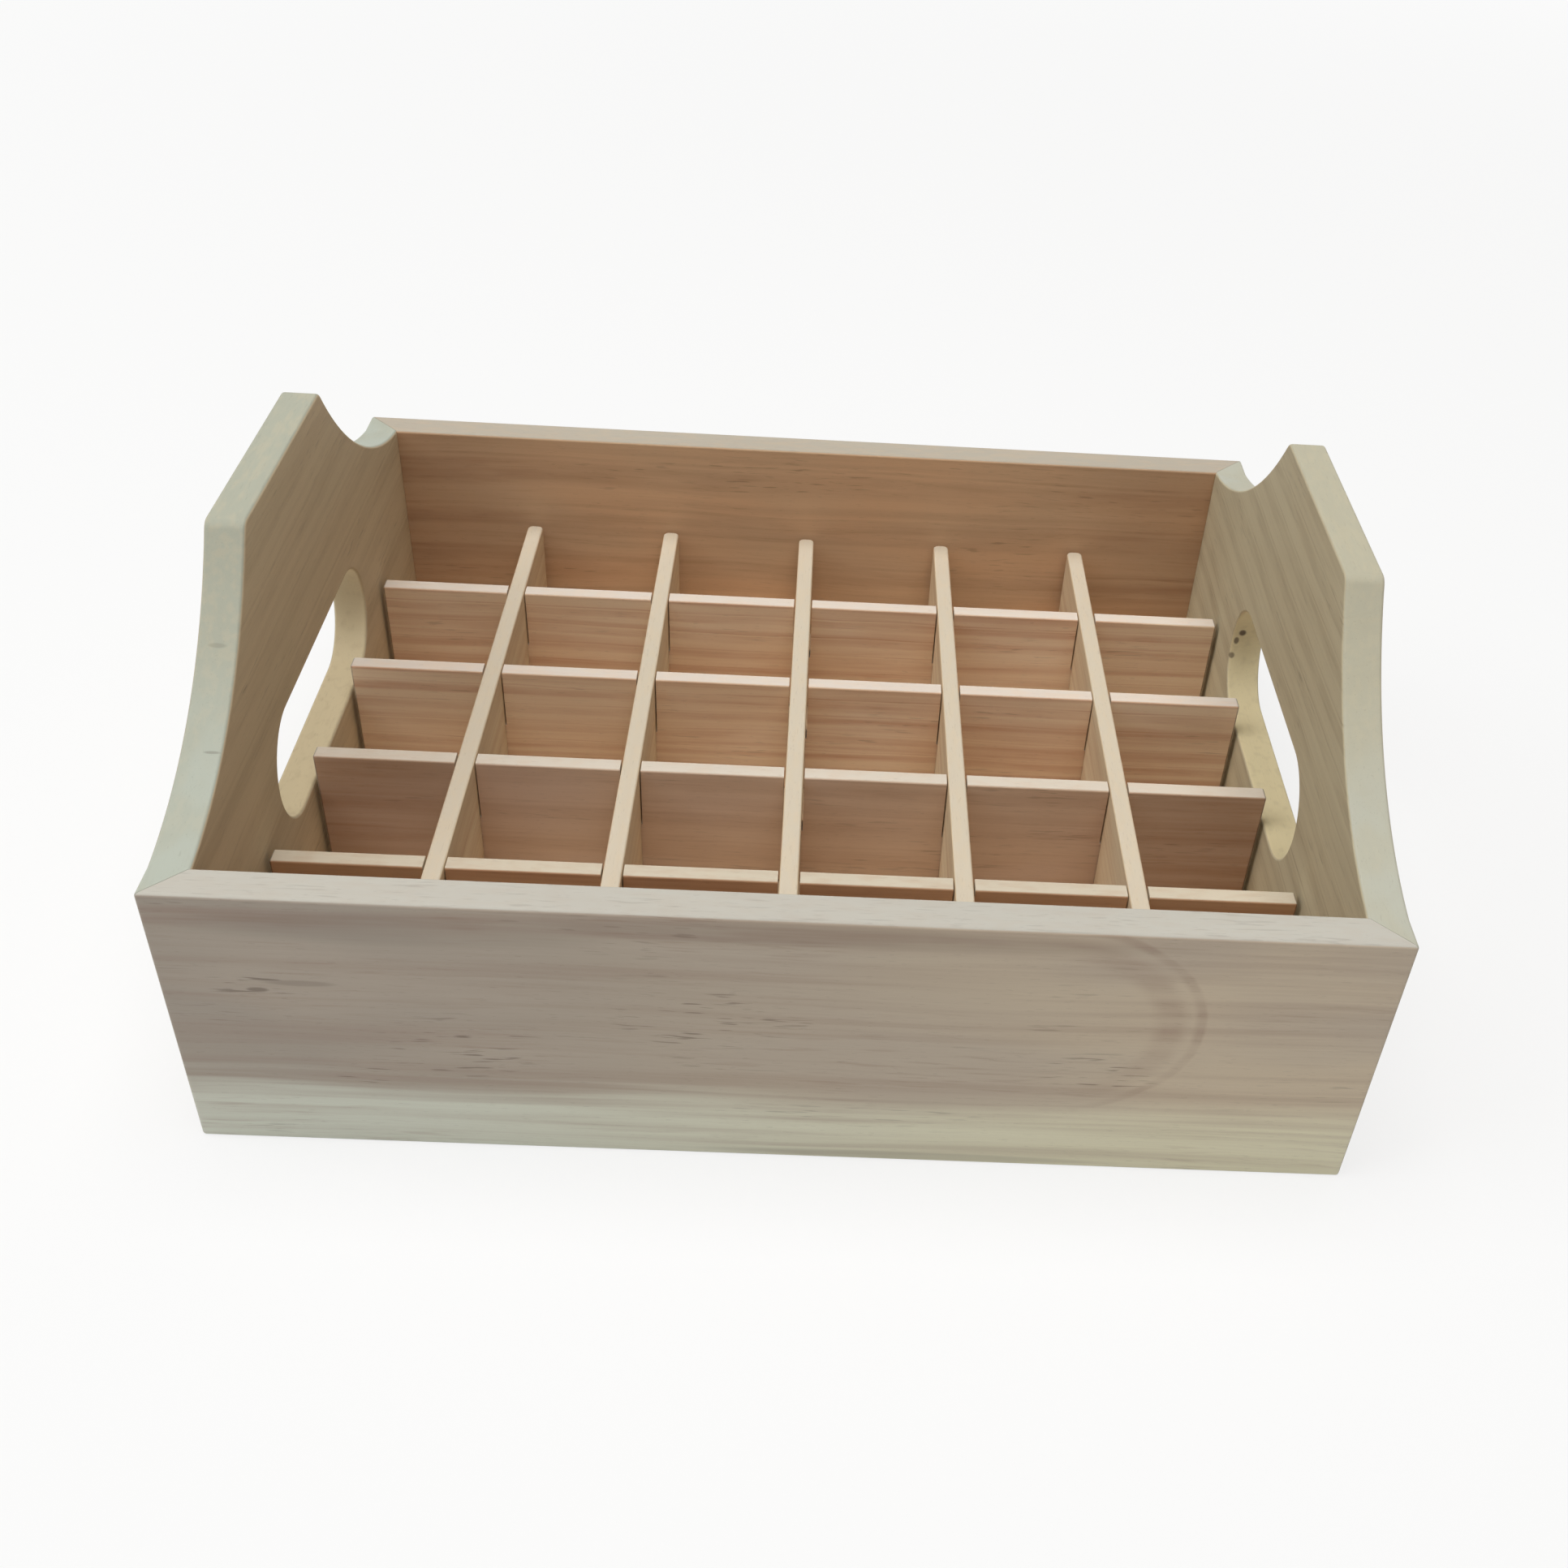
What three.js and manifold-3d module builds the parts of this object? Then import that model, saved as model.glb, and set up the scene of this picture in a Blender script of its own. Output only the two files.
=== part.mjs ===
// Essential oil case: an open wooden caddy with raised end panels, hollow coves and hand
// slots, and a loose grid of half-lapped dividers that stands small bottles apart.
// Millimetres, +Z up, +X along the length. The origin is the middle of the footprint, on
// the surface that the case stands on.

import * as THREE from "three";
import { mergeVertices } from "three/addons/utils/BufferGeometryUtils.js";
import Module from "manifold-3d";

// The box: four boards, mitred at the corners.
const CASE_LENGTH = 230; // along X, over the end panels
const CASE_DEPTH = 195; // along Y, over the front and back panels
const WALL = 8; // thickness of all four boards
const SIDE_HEIGHT = 63; // front and back panels
const END_HEIGHT = 100; // end panels, up to the flat top
const END_TOP_WIDTH = 59; // flat top of an end panel, between its two coves
const COVE_RADIUS = 90; // hollow sweep from the corner up to the flat top
const EDGE_ROUND = 1; // sanded edges of the boards
const MITRE_GAP = 0.3; // glue line of a corner

// The hand slot in each end panel, a long hole with round ends.
const SLOT_LENGTH = 80;
const SLOT_HEIGHT = 25.5;
const SLOT_CENTRE_HEIGHT = 43;

// The base, a thin panel held in grooves round the inside of the boards.
const BASE_THICKNESS = 3;
const BASE_LIFT = 5; // underside of the base above the boards' bottom edges
const GROOVE_DEPTH = 4;
const GROOVE_PLAY = 0.3; // above and below the base
const BASE_EDGE_PLAY = 0.5; // from the base's edge to the bottom of the groove

// The divider grid: slats that cross in half-lap notches.
const COLUMNS = 6; // cells along the length
const ROWS = 5; // cells from front to back
const DIVIDER_THICKNESS = 4;
const DIVIDER_HEIGHT = 30;
const DIVIDER_ROUND = 0.5; // sanded edges of the slats
const DIVIDER_END_PLAY = 1; // from a slat's end to the board beside it
const DIVIDER_SEAT_GAP = 0.3; // under the slats
const NOTCH_PLAY = 0.3; // on each side of a notch and at its bottom

// The brads that pin the mitres, two at each corner, driven through the end panels.
const BRAD_LENGTH = 20;
const BRAD_RADIUS = 0.6;
const BRAD_HEAD_RADIUS = 1;
const BRAD_HEAD_THICKNESS = 0.6;
const BRAD_SINK = 0.2; // head below the face
const BRAD_EDGE = 16; // from a brad to the top or bottom edge of the front or back panel
const BRAD_PLAY = 0.1; // hole round a brad

// Facets of the curves.
const CURVE_STEPS = 8;
const ROUND_STEPS = 2;
const BRAD_SIDES = 10;

const CUT_MARGIN = 5; // how far a cutting solid reaches past what it cuts
const MERGE_DISTANCE = 1e-4;

const INNER_LENGTH = CASE_LENGTH - 2 * WALL;
const INNER_DEPTH = CASE_DEPTH - 2 * WALL;
const BASE_TOP = BASE_LIFT + BASE_THICKNESS;
const COLUMN_PITCH = (INNER_LENGTH + DIVIDER_THICKNESS) / COLUMNS;
const ROW_PITCH = (INNER_DEPTH + DIVIDER_THICKNESS) / ROWS;

const wasm = await Module();
wasm.setup();

// Turns a closed geometry into a solid that can be cut and joined.
function solidFrom(geometry) {
  const bare = geometry.clone();
  bare.deleteAttribute("normal");
  bare.deleteAttribute("uv");
  const merged = mergeVertices(bare, MERGE_DISTANCE);
  return new wasm.Manifold(
    new wasm.Mesh({
      numProp: 3,
      vertProperties: merged.attributes.position.array,
      triVerts: new Uint32Array(merged.index.array),
    }),
  );
}

// Turns a cut solid back into a geometry.
function geometryFrom(solid) {
  const mesh = solid.getMesh();
  const geometry = new THREE.BufferGeometry();
  geometry.setAttribute("position", new THREE.BufferAttribute(mesh.vertProperties, 3));
  geometry.setIndex(new THREE.BufferAttribute(mesh.triVerts, 1));
  geometry.computeVertexNormals();
  return geometry;
}

// A box given by its two corners, for cutting.
function boxSolid(low, high) {
  const box = new THREE.BoxGeometry(high[0] - low[0], high[1] - low[1], high[2] - low[2]);
  box.translate((low[0] + high[0]) / 2, (low[1] + high[1]) / 2, (low[2] + high[2]) / 2);
  return solidFrom(box);
}

// A rectangle that stands on the x axis, centred on it.
function standingRectangle(width, height) {
  const shape = new THREE.Shape();
  shape.moveTo(-width / 2, 0);
  shape.lineTo(width / 2, 0);
  shape.lineTo(width / 2, height);
  shape.lineTo(-width / 2, height);
  shape.closePath();
  return shape;
}

// A board sawn to an outline and sanded round its edges. It stands upright: x along the
// board, z up, and y through it from 0 on one face to the thickness on the other.
function sandedBoard(outline, thickness, round) {
  const geometry = new THREE.ExtrudeGeometry(outline, {
    depth: thickness - 2 * round,
    bevelEnabled: true,
    bevelThickness: round,
    bevelSize: round,
    bevelOffset: -round,
    bevelSegments: ROUND_STEPS,
    curveSegments: CURVE_STEPS,
  });
  geometry.translate(0, 0, round - thickness);
  geometry.rotateX(Math.PI / 2);
  return solidFrom(geometry);
}

// The part of a board that is left between its two mitres. The outer face is at y = 0.
function mitrePrism(length, height) {
  const shift = MITRE_GAP / Math.SQRT2;
  const outer = length / 2 + CUT_MARGIN - shift;
  const inner = length / 2 - WALL - CUT_MARGIN - shift;
  const plan = new THREE.Shape();
  plan.moveTo(-outer, -CUT_MARGIN);
  plan.lineTo(outer, -CUT_MARGIN);
  plan.lineTo(inner, WALL + CUT_MARGIN);
  plan.lineTo(-inner, WALL + CUT_MARGIN);
  plan.closePath();
  const prism = new THREE.ExtrudeGeometry(plan, {
    depth: height + 2 * CUT_MARGIN,
    bevelEnabled: false,
  });
  prism.translate(0, 0, -CUT_MARGIN);
  return solidFrom(prism);
}

// The groove that holds the base, along the inside of a board.
function baseGroove(length) {
  return boxSolid(
    [-length / 2 - CUT_MARGIN, WALL - GROOVE_DEPTH, BASE_LIFT - GROOVE_PLAY],
    [length / 2 + CUT_MARGIN, WALL + CUT_MARGIN, BASE_TOP + GROOVE_PLAY],
  );
}

// A brad along +y, with its head near y = 0. With some play it is the hole for one.
function bradGeometry(play) {
  const headStart = play > 0 ? -CUT_MARGIN : BRAD_SINK;
  const headEnd = BRAD_SINK + BRAD_HEAD_THICKNESS + play;
  const tip = BRAD_LENGTH + play;
  const profile = [
    new THREE.Vector2(0, headStart),
    new THREE.Vector2(BRAD_HEAD_RADIUS + play, headStart),
    new THREE.Vector2(BRAD_HEAD_RADIUS + play, headEnd),
    new THREE.Vector2(BRAD_RADIUS + play, headEnd),
    new THREE.Vector2(BRAD_RADIUS + play, tip - BRAD_RADIUS),
    new THREE.Vector2(0, tip),
  ];
  return new THREE.LatheGeometry(profile, BRAD_SIDES);
}

const bradHeights = [BRAD_EDGE, SIDE_HEIGHT - BRAD_EDGE];

// Cuts the holes for the brads at both ends of a board. The turn lays the brad's own
// axis along the board's, for the boards that the points run into.
function boreForBrads(board, endX, depthY, turn) {
  let bored = board;
  for (const side of [-1, 1]) {
    for (const height of bradHeights) {
      const hole = bradGeometry(BRAD_PLAY);
      hole.rotateZ(side * turn);
      hole.translate(side * endX, depthY, height);
      bored = bored.subtract(solidFrom(hole));
    }
  }
  return bored;
}

// The front or back panel: a plain rail.
function sidePanelGeometry() {
  const outline = standingRectangle(CASE_LENGTH, SIDE_HEIGHT);
  const board = sandedBoard(outline, WALL, EDGE_ROUND)
    .intersect(mitrePrism(CASE_LENGTH, SIDE_HEIGHT))
    .subtract(baseGroove(CASE_LENGTH));
  return geometryFrom(boreForBrads(board, CASE_LENGTH / 2, WALL / 2, Math.PI / 2));
}

// The outline of an end panel: level with the rails at the corners, then a hollow cove
// up to a flat top, the same on both sides.
function endPanelOutline() {
  const start = new THREE.Vector2(CASE_DEPTH / 2 - WALL, SIDE_HEIGHT);
  const shoulder = new THREE.Vector2(END_TOP_WIDTH / 2, END_HEIGHT);
  const chord = shoulder.clone().sub(start);
  const rise = Math.sqrt(COVE_RADIUS ** 2 - chord.lengthSq() / 4);
  const centre = start
    .clone()
    .add(shoulder)
    .multiplyScalar(0.5)
    .add(new THREE.Vector2(chord.y, -chord.x).normalize().multiplyScalar(rise));
  const startAngle = start.clone().sub(centre).angle();
  const shoulderAngle = shoulder.clone().sub(centre).angle();

  const outline = new THREE.Shape();
  outline.moveTo(-CASE_DEPTH / 2, 0);
  outline.lineTo(CASE_DEPTH / 2, 0);
  outline.lineTo(CASE_DEPTH / 2, SIDE_HEIGHT);
  outline.lineTo(start.x, start.y);
  outline.absarc(centre.x, centre.y, COVE_RADIUS, startAngle, shoulderAngle, true);
  outline.absarc(
    -centre.x,
    centre.y,
    COVE_RADIUS,
    Math.PI - shoulderAngle,
    Math.PI - startAngle,
    true,
  );
  outline.lineTo(-CASE_DEPTH / 2, SIDE_HEIGHT);
  outline.closePath();
  return outline;
}

// The hand slot's outline, points round each end as an arc.
function slotOutline() {
  const radius = SLOT_HEIGHT / 2;
  const centreX = SLOT_LENGTH / 2 - radius;
  const slot = new THREE.Path();
  slot.moveTo(-centreX, SLOT_CENTRE_HEIGHT - radius);
  slot.absarc(-centreX, SLOT_CENTRE_HEIGHT, radius, -Math.PI / 2, Math.PI / 2, true);
  slot.absarc(centreX, SLOT_CENTRE_HEIGHT, radius, Math.PI / 2, -Math.PI / 2, true);
  slot.closePath();
  return slot;
}

// An end panel: coves above, the hand slot through it.
function endPanelGeometry() {
  const outline = endPanelOutline();
  outline.holes.push(slotOutline());
  const board = sandedBoard(outline, WALL, EDGE_ROUND)
    .intersect(mitrePrism(CASE_DEPTH, END_HEIGHT))
    .subtract(baseGroove(CASE_DEPTH));
  return geometryFrom(boreForBrads(board, CASE_DEPTH / 2 - WALL / 2, 0, 0));
}

// The base panel, which reaches into the grooves.
function basePanelGeometry() {
  const reach = 2 * (GROOVE_DEPTH - BASE_EDGE_PLAY);
  return new THREE.BoxGeometry(INNER_LENGTH + reach, INNER_DEPTH + reach, BASE_THICKNESS);
}

// A divider: a slat with a half-lap notch for each slat that crosses it. The notches open
// at the top edge or at the bottom edge.
function dividerGeometry(length, crossings, pitch, notchesOpenUp) {
  const outline = standingRectangle(length, DIVIDER_HEIGHT);
  let slat = sandedBoard(outline, DIVIDER_THICKNESS, DIVIDER_ROUND);
  const halfWidth = DIVIDER_THICKNESS / 2 + NOTCH_PLAY;
  const middle = DIVIDER_HEIGHT / 2;
  const low = notchesOpenUp ? middle - NOTCH_PLAY / 2 : -CUT_MARGIN;
  const high = notchesOpenUp ? DIVIDER_HEIGHT + CUT_MARGIN : middle + NOTCH_PLAY / 2;
  for (let i = 0; i < crossings; i++) {
    const x = (i - (crossings - 1) / 2) * pitch;
    const notch = boxSolid(
      [x - halfWidth, -CUT_MARGIN, low],
      [x + halfWidth, DIVIDER_THICKNESS + CUT_MARGIN, high],
    );
    slat = slat.subtract(notch);
  }
  return geometryFrom(slat.translate([0, -DIVIDER_THICKNESS / 2, 0]));
}

const boardPine = { color: 0xcdbfa6, roughness: 0.75, metalness: 0 };
const basePly = { color: 0xb99a76, roughness: 0.8, metalness: 0 };
const dividerPine = { color: 0xc9ae8c, roughness: 0.75, metalness: 0 };
const bradSteel = { color: 0x9a9a98, roughness: 0.45, metalness: 1 };

const essentialOilCase = new THREE.Group();

// Adds one named piece to a group and places it.
function addPiece(group, name, geometry, finish, position, turn = 0) {
  const piece = new THREE.Mesh(geometry, new THREE.MeshStandardMaterial(finish));
  piece.name = name;
  piece.position.set(...position);
  piece.rotation.z = turn;
  group.add(piece);
}

// The four boards, outer faces outwards.
const sidePanel = sidePanelGeometry();
const endPanel = endPanelGeometry();
const frontY = -CASE_DEPTH / 2;
const leftX = -CASE_LENGTH / 2;
addPiece(essentialOilCase, "front_panel", sidePanel, boardPine, [0, frontY, 0]);
addPiece(essentialOilCase, "back_panel", sidePanel, boardPine, [0, -frontY, 0], Math.PI);
addPiece(essentialOilCase, "left_end_panel", endPanel, boardPine, [leftX, 0, 0], -Math.PI / 2);
addPiece(essentialOilCase, "right_end_panel", endPanel, boardPine, [-leftX, 0, 0], Math.PI / 2);

const baseMiddle = BASE_LIFT + BASE_THICKNESS / 2;
addPiece(essentialOilCase, "base_panel", basePanelGeometry(), basePly, [0, 0, baseMiddle]);

// The brads, numbered from the lower one at each corner.
const brad = bradGeometry(0);
for (const [endName, endSide] of [["left", -1], ["right", 1]]) {
  for (const [sideName, depthSide] of [["front", -1], ["back", 1]]) {
    bradHeights.forEach((height, i) => {
      const name = `${sideName}_${endName}_brad_${i + 1}`;
      const place = [(endSide * CASE_LENGTH) / 2, depthSide * (CASE_DEPTH / 2 - WALL / 2), height];
      addPiece(essentialOilCase, name, brad, bradSteel, place, (endSide * Math.PI) / 2);
    });
  }
}

// The divider grid, numbered from the front and from the left.
const dividerGrid = new THREE.Group();
dividerGrid.position.z = BASE_TOP + DIVIDER_SEAT_GAP;
essentialOilCase.add(dividerGrid);

const longLength = INNER_LENGTH - 2 * DIVIDER_END_PLAY;
const longDivider = dividerGeometry(longLength, COLUMNS - 1, COLUMN_PITCH, true);
for (let row = 1; row < ROWS; row++) {
  const place = [0, (row - ROWS / 2) * ROW_PITCH, 0];
  addPiece(dividerGrid, `long_divider_${row}`, longDivider, dividerPine, place);
}

const crossLength = INNER_DEPTH - 2 * DIVIDER_END_PLAY;
const crossDivider = dividerGeometry(crossLength, ROWS - 1, ROW_PITCH, false);
for (let column = 1; column < COLUMNS; column++) {
  const place = [(column - COLUMNS / 2) * COLUMN_PITCH, 0, 0];
  addPiece(dividerGrid, `cross_divider_${column}`, crossDivider, dividerPine, place, Math.PI / 2);
}

export default essentialOilCase;
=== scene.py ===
import math
from dataclasses import dataclass

import bmesh
import bpy
from mathutils import Euler, Matrix, Vector


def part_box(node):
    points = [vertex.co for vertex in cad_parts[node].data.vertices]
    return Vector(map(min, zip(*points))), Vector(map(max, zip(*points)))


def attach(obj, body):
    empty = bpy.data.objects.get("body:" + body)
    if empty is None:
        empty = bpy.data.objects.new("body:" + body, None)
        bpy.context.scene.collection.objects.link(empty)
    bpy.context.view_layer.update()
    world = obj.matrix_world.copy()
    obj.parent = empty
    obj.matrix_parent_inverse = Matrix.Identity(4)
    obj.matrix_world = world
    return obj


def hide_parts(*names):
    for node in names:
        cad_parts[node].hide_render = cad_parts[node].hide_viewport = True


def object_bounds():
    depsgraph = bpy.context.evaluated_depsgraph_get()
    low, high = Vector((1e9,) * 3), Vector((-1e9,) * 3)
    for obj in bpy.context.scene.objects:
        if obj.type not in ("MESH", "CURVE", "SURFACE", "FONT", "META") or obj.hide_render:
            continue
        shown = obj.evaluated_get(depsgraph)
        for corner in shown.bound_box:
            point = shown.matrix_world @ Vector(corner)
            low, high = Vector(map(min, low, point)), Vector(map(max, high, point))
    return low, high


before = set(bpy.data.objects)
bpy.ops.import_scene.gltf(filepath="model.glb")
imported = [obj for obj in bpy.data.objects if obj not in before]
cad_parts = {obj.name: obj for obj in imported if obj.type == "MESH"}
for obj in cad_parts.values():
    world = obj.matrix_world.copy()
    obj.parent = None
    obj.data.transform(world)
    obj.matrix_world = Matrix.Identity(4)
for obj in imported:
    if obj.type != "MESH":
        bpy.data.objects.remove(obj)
cad_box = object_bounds()

# Driving sizes, in metres. What the frame shows is read from it.
MM = 0.001
CASE_LENGTH = cad_box[1].x - cad_box[0].x
CASE_DEPTH = cad_box[1].y - cad_box[0].y
END_HEIGHT = cad_box[1].z
front_low, front_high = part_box("front_panel")
WALL = front_high.y - front_low.y
SIDE_HEIGHT = front_high.z
base_low, base_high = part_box("base_panel")
slat_low, slat_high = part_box("long_divider_1")
SLAT_THICKNESS = slat_high.y - slat_low.y
SLAT_HEIGHT = slat_high.z - slat_low.z
LONG_SLAT_LENGTH = slat_high.x - slat_low.x
cross_low, cross_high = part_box("cross_divider_1")
CROSS_SLAT_LENGTH = cross_high.y - cross_low.y
LONG_SLATS = 4
CROSS_SLATS = 5
END_TOP_WIDTH = 59 * MM
COVE_RADIUS = 90 * MM
SLOT_LENGTH = 80 * MM
SLOT_HEIGHT = 25.5 * MM
SLOT_CENTRE_HEIGHT = 43 * MM
EDGE_ROUND = 0.7 * MM
CORNER_ROUND = 1.5 * MM
MITRE_GAP = 0.1 * MM
GROOVE_DEPTH = 4 * MM
GROOVE_PLAY = 0.3 * MM
SLAT_ROUND = 0.5 * MM
SLAT_END_ROUND = 1.4 * MM
NOTCH_PLAY = 0.3 * MM
BRAD_HOLE_RADIUS = 1.1 * MM
BRAD_HOLE_DEPTH = 1.0 * MM
COVE_STEPS = 40
SLOT_STEPS = 32
BRAD_HOLE_SIDES = 16
CORNER_STEPS = 5
EDGE_STEPS = 4
SLAT_END_STEPS = 4
SLAT_ROUND_STEPS = 3
SHARP_ANGLE = math.radians(30)
SQUARE_ON = 0.999
TINY = 0.001 * MM
SEED_STEP = 7.3
# Reach of the figure, in millimetres of the wood: the low coves from a board's middle, and a sawn end's
# darkening, which is end grain and painted shade of the gap by the end board
COVE_FADE = (40.0, 75.0)
END_GRAIN_AND_SHADE_IN = 0.5
END_GRAIN_AND_SHADE_FULL = 0.2
END_GRAIN_AND_SHADE_STRENGTH = 0.6
# The studio
FLOOR_HALF_SIZE = 4.0
FLOOR_FADE = (0.35, 1.6)
FLOOR_WHITE = 0.72
SKY_STRENGTH = 0.1
CAMERA_NEAREST = 0.01

# The camera that took the photograph, from its fit to the case's corners.
CAMERA_PLACE = (3.043 * MM, -328.364 * MM, 263.875 * MM)
CAMERA_TURN_DEGREES = (49.068, -3.097, 0.033)
CAMERA_LENS_MM = 39.314
CAMERA_SENSOR_MM = 36.0
CAMERA_SHIFT = (-0.04974, 0.08707)


class Outline:
    """A closed outline in the xz plane: one vertex extruded along lines and spun round arcs."""

    def __init__(self, mesh, x, z):
        self.mesh = mesh
        self.start = mesh.verts.new((x, 0.0, z))
        self.tip = self.start

    def line_to(self, x, z):
        drawn = bmesh.ops.extrude_vert_indiv(self.mesh, verts=[self.tip])
        self.tip = drawn["verts"][0]
        self.tip.co = (x, 0.0, z)

    def arc_to(self, x, z, radius, steps):
        """Goes clockwise, as seen from the front, round the centre to the right of the way there."""
        start = self.tip.co.copy()
        end = Vector((x, 0.0, z))
        chord = end - start
        half = chord.length / 2
        rightward = Vector((chord.z, 0.0, -chord.x)).normalized()
        centre = (start + end) / 2 + rightward * math.sqrt(max(radius * radius - half * half, 0.0))
        angle = 2 * math.asin(min(half / radius, 1.0))
        drawn = bmesh.ops.spin(
            self.mesh, geom=[self.tip], cent=centre, axis=(0, 1, 0), angle=angle, steps=steps
        )
        self.tip = next(v for v in drawn["geom_last"] if isinstance(v, bmesh.types.BMVert))
        self.tip.co = end

    def fill(self):
        self.mesh.edges.new((self.tip, self.start))
        bmesh.ops.contextual_create(self.mesh, geom=self.mesh.edges[:])


def rail_half_outline(mesh):
    """The right half of the front and back boards: a plain rectangle."""
    outline = Outline(mesh, 0.0, 0.0)
    outline.line_to(CASE_LENGTH / 2, 0.0)
    outline.line_to(CASE_LENGTH / 2, SIDE_HEIGHT)
    outline.line_to(0.0, SIDE_HEIGHT)
    outline.fill()


def end_half_outline(mesh):
    """The right half of an end board: the low corner, the cove, the flat top and half the hand slot."""
    slot_top = SLOT_CENTRE_HEIGHT + SLOT_HEIGHT / 2
    slot_bottom = SLOT_CENTRE_HEIGHT - SLOT_HEIGHT / 2
    slot_straight = (SLOT_LENGTH - SLOT_HEIGHT) / 2
    outline = Outline(mesh, 0.0, 0.0)
    outline.line_to(CASE_DEPTH / 2, 0.0)
    outline.line_to(CASE_DEPTH / 2, SIDE_HEIGHT)
    outline.line_to(CASE_DEPTH / 2 - WALL, SIDE_HEIGHT)
    outline.arc_to(END_TOP_WIDTH / 2, END_HEIGHT, COVE_RADIUS, COVE_STEPS)
    outline.line_to(0.0, END_HEIGHT)
    outline.line_to(0.0, slot_top)
    outline.line_to(slot_straight, slot_top)
    outline.arc_to(slot_straight, slot_bottom, SLOT_HEIGHT / 2, SLOT_STEPS)
    outline.line_to(0.0, slot_bottom)
    outline.fill()


def mirror_whole(mesh):
    """Adds the left half and joins the two along the middle."""
    bmesh.ops.mirror(
        mesh, geom=mesh.verts[:] + mesh.edges[:] + mesh.faces[:], axis="X", merge_dist=TINY
    )
    bmesh.ops.remove_doubles(mesh, verts=mesh.verts[:], dist=TINY)
    bmesh.ops.recalc_face_normals(mesh, faces=mesh.faces[:])


def thicken(mesh, thickness):
    """Turns a flat outline at y = 0 into a board that reaches to y = thickness."""
    raised = bmesh.ops.extrude_face_region(mesh, geom=mesh.faces[:])
    moved = [v for v in raised["geom"] if isinstance(v, bmesh.types.BMVert)]
    bmesh.ops.translate(mesh, verts=moved, vec=(0.0, thickness, 0.0))
    bmesh.ops.recalc_face_normals(mesh, faces=mesh.faces[:])


def round_edges(mesh, edges, radius, segments):
    bmesh.ops.bevel(
        mesh, geom=edges, offset=radius, segments=segments, profile=0.5, affect="EDGES", material=-1
    )


def sharp_edges(mesh):
    return [e for e in mesh.edges if e.calc_face_angle(0.0) > SHARP_ANGLE]


def at_top_corner(place):
    """Whether a point lies where an end board's flat top meets a cove."""
    aside = abs(abs(place.x) - END_TOP_WIDTH / 2)
    return aside < TINY and abs(place.z - END_HEIGHT) < TINY


def faces_at_depth(mesh, depth, inward):
    """The flat faces of a board at one depth, which look inward (1) or outward (-1)."""
    return [
        f for f in mesh.faces
        if f.normal.y * inward > SQUARE_ON and abs(f.calc_center_median().y - depth) < TINY
    ]


def cut_groove(mesh):
    """The groove that holds the base, along the inside of a board."""
    groove_low = base_low.z - GROOVE_PLAY
    groove_high = base_high.z + GROOVE_PLAY
    for height in (groove_low, groove_high):
        faces = faces_at_depth(mesh, WALL, 1)
        around = set(faces)
        around.update(e for f in faces for e in f.edges)
        around.update(v for f in faces for v in f.verts)
        bmesh.ops.bisect_plane(
            mesh, geom=list(around), dist=TINY, plane_co=(0, 0, height), plane_no=(0, 0, 1)
        )
    strip = [
        f for f in faces_at_depth(mesh, WALL, 1)
        if groove_low < f.calc_center_median().z < groove_high
    ]
    sunk = bmesh.ops.extrude_face_region(mesh, geom=strip)
    moved = [v for v in sunk["geom"] if isinstance(v, bmesh.types.BMVert)]
    bmesh.ops.translate(mesh, verts=moved, vec=(0.0, -GROOVE_DEPTH, 0.0))
    bmesh.ops.delete(mesh, geom=strip, context="FACES")


def drill_brad_holes(mesh, spots):
    """Small round recesses in a board's outer face, one for each brad head."""
    for side in (-1, 1):
        face = next(f for f in faces_at_depth(mesh, 0.0, -1) if f.calc_center_median().x * side > 0)
        rim = list(face.edges)
        bmesh.ops.delete(mesh, geom=[face], context="FACES_ONLY")
        rings = []
        for x, z in spots:
            if x * side < 0:
                continue
            turned = Matrix.Translation((x, 0.0, z)) @ Matrix.Rotation(math.pi / 2, 4, "X")
            circle = bmesh.ops.create_circle(
                mesh, cap_ends=False, radius=BRAD_HOLE_RADIUS, segments=BRAD_HOLE_SIDES, matrix=turned
            )
            rings.append({e for v in circle["verts"] for e in v.link_edges})
        loops = rim + [e for ring in rings for e in ring]
        bmesh.ops.triangle_fill(mesh, edges=loops, use_beauty=True)
        for ring in rings:
            wall = bmesh.ops.extrude_edge_only(mesh, edges=list(ring))
            moved = [v for v in wall["geom"] if isinstance(v, bmesh.types.BMVert)]
            bottom = [e for e in wall["geom"] if isinstance(e, bmesh.types.BMEdge)]
            bmesh.ops.translate(mesh, verts=moved, vec=(0.0, BRAD_HOLE_DEPTH, 0.0))
            bmesh.ops.edgeloop_fill(mesh, edges=[e for e in bottom if e.is_boundary])


def mitre_ends(mesh, length):
    """Cuts both ends of a board at 45 degrees, from the full length outside to a wall less inside."""
    for side in (-1, 1):
        bmesh.ops.bisect_plane(
            mesh,
            geom=mesh.verts[:] + mesh.edges[:] + mesh.faces[:],
            dist=TINY,
            plane_co=(side * (length / 2 - MITRE_GAP / 2), 0.0, 0.0),
            plane_no=(side, 1.0, 0.0),
            clear_outer=True,
        )
        open_edges = [e for e in mesh.edges if e.is_boundary]
        bmesh.ops.holes_fill(mesh, edges=open_edges, sides=0)


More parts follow.
